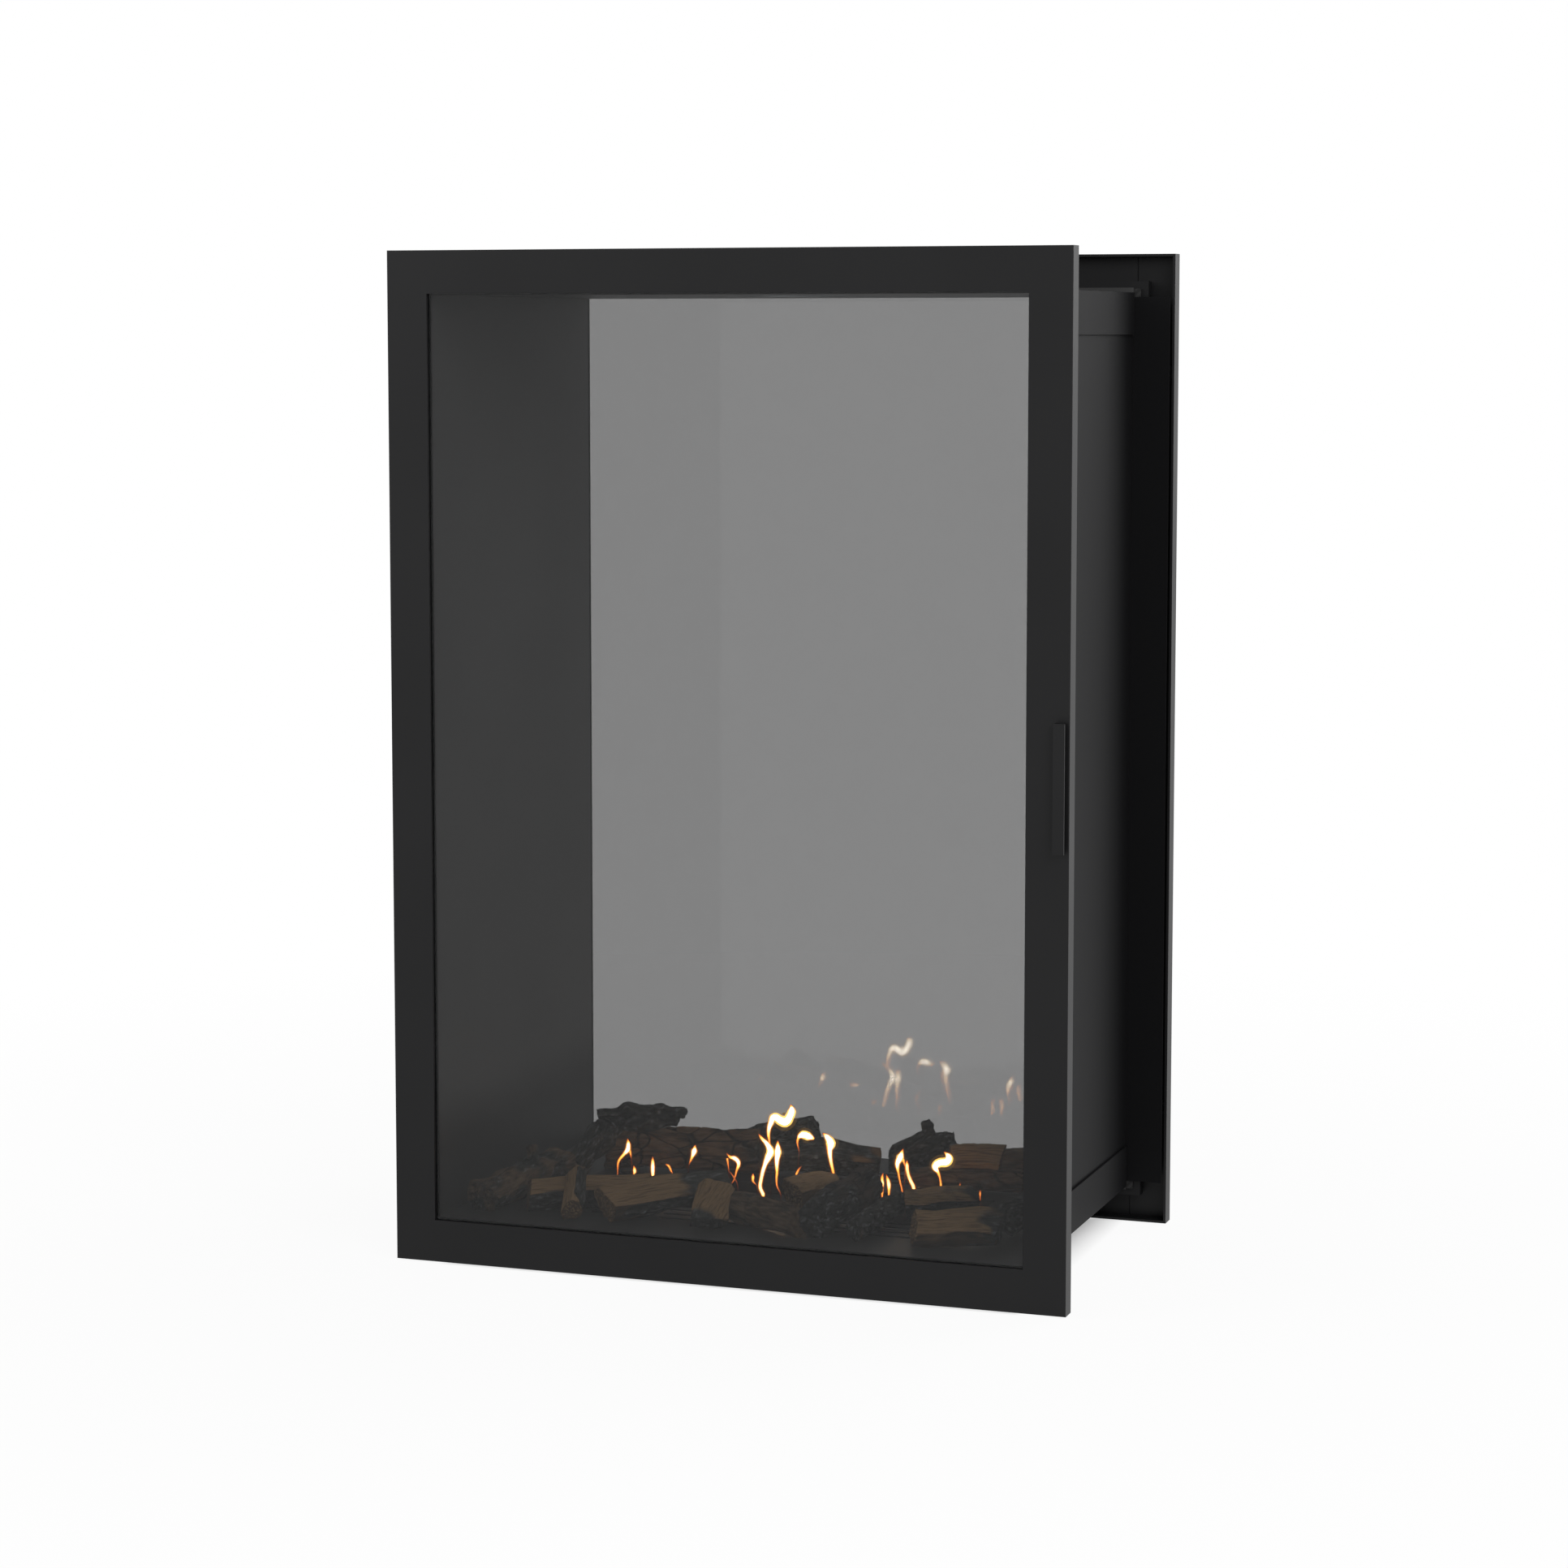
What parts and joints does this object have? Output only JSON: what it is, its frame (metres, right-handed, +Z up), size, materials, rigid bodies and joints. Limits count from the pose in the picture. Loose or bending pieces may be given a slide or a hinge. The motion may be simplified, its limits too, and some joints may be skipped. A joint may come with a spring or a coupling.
{
  "type": "double-sided fireplace",
  "caption": "See-through gas log fireplace: black steel box with a hinged glass door on both sides, ceramic logs on a slotted burner floor, and a flue collar on top.",
  "frame": {"origin": "centre of the footprint on the floor, under the base rails", "axes": "+Z up, the front door faces -Y, +X to the right seen from the front"},
  "size_m": [0.69, 0.437, 1.002],
  "materials": {
    "black_steel": "satin black heat-resistant powder coat",
    "liner_steel": "matt charcoal heat-resistant paint",
    "fire_glass": "grey-tinted polished ceramic glass",
    "rope_seal": "matt woven black glass-fibre rope",
    "ceramic_paper": "matt white ceramic-fibre felt",
    "zinc_steel": "bright zinc plate",
    "magnet_case": "matt black moulded case",
    "burner_steel": "semi-gloss black enamel",
    "pipe_brass": "drawn brass",
    "valve_alloy": "die-cast, bead-blasted",
    "log_split": "matt cast ceramic fibre coloured as split timber",
    "log_bark": "matt cast ceramic fibre coloured as bark",
    "log_char": "matt cast ceramic fibre coloured as charred wood"
  },
  "bodies": {
    "casing": {"base_rails": "black_steel", "bottom_pan": "black_steel", "bottom_paper": "ceramic_paper", "burner_plenum": "burner_steel", "burner_trough": "burner_steel", "casing_screws": "zinc_steel", "flue_collar": "zinc_steel", "front_catch_magnet": "magnet_case", "front_hinge_arms": "black_steel", "front_rope_seal": "rope_seal", "gas_pipe": "pipe_brass", "gas_valve": "valve_alloy", "liner_ceiling": "liner_steel", "liner_floor": "liner_steel", "liner_left_wall": "black_steel", "liner_right_wall": "black_steel", "log_big_char": "log_char", "log_block": "log_split", "log_brown": "log_bark", "log_char_stick": "log_char", "log_front_left": "log_split", "log_front_mid": "log_split", "log_front_right": "log_split", "log_left_lean": "log_char", "log_left_slab": "log_bark", "log_left_stub": "log_split", "log_left_top": "log_char", "log_mid_stub": "log_split", "log_rear_long": "log_bark", "log_rear_mid": "log_char", "log_rear_right": "log_char", "log_rear_top": "log_char", "log_right_base": "log_bark", "log_right_char": "log_char", "log_right_cut": "log_split", "log_right_far": "log_bark", "log_right_mid": "log_split", "pilot": "zinc_steel", "rear_catch_magnet": "magnet_case", "rear_hinge_arms": "black_steel", "rear_rope_seal": "rope_seal", "top_pan": "black_steel", "top_paper": "ceramic_paper"},
    "front_door": {"front_door_frame": "black_steel", "front_glass": "fire_glass", "front_glass_tape": "rope_seal", "front_glass_clamp": "black_steel", "front_clamp_screws": "zinc_steel", "front_handle": "black_steel", "front_hinge_knuckles": "black_steel", "front_strike": "zinc_steel"},
    "rear_door": {"rear_door_frame": "black_steel", "rear_glass": "fire_glass", "rear_glass_tape": "rope_seal", "rear_glass_clamp": "black_steel", "rear_clamp_screws": "zinc_steel", "rear_handle": "black_steel", "rear_hinge_knuckles": "black_steel", "rear_strike": "zinc_steel"}
  },
  "joints": [
    {"name": "front_door_hinge", "type": "hinge", "parent": "casing", "child": "front_door", "pos_m": [-0.3375, -0.201, 0.502], "axis": [0, 0, -1], "range_deg": [0, 95]},
    {"name": "rear_door_hinge", "type": "hinge", "parent": "casing", "child": "rear_door", "pos_m": [0.3375, 0.201, 0.502], "axis": [0, 0, -1], "range_deg": [0, 95]}
  ]
}
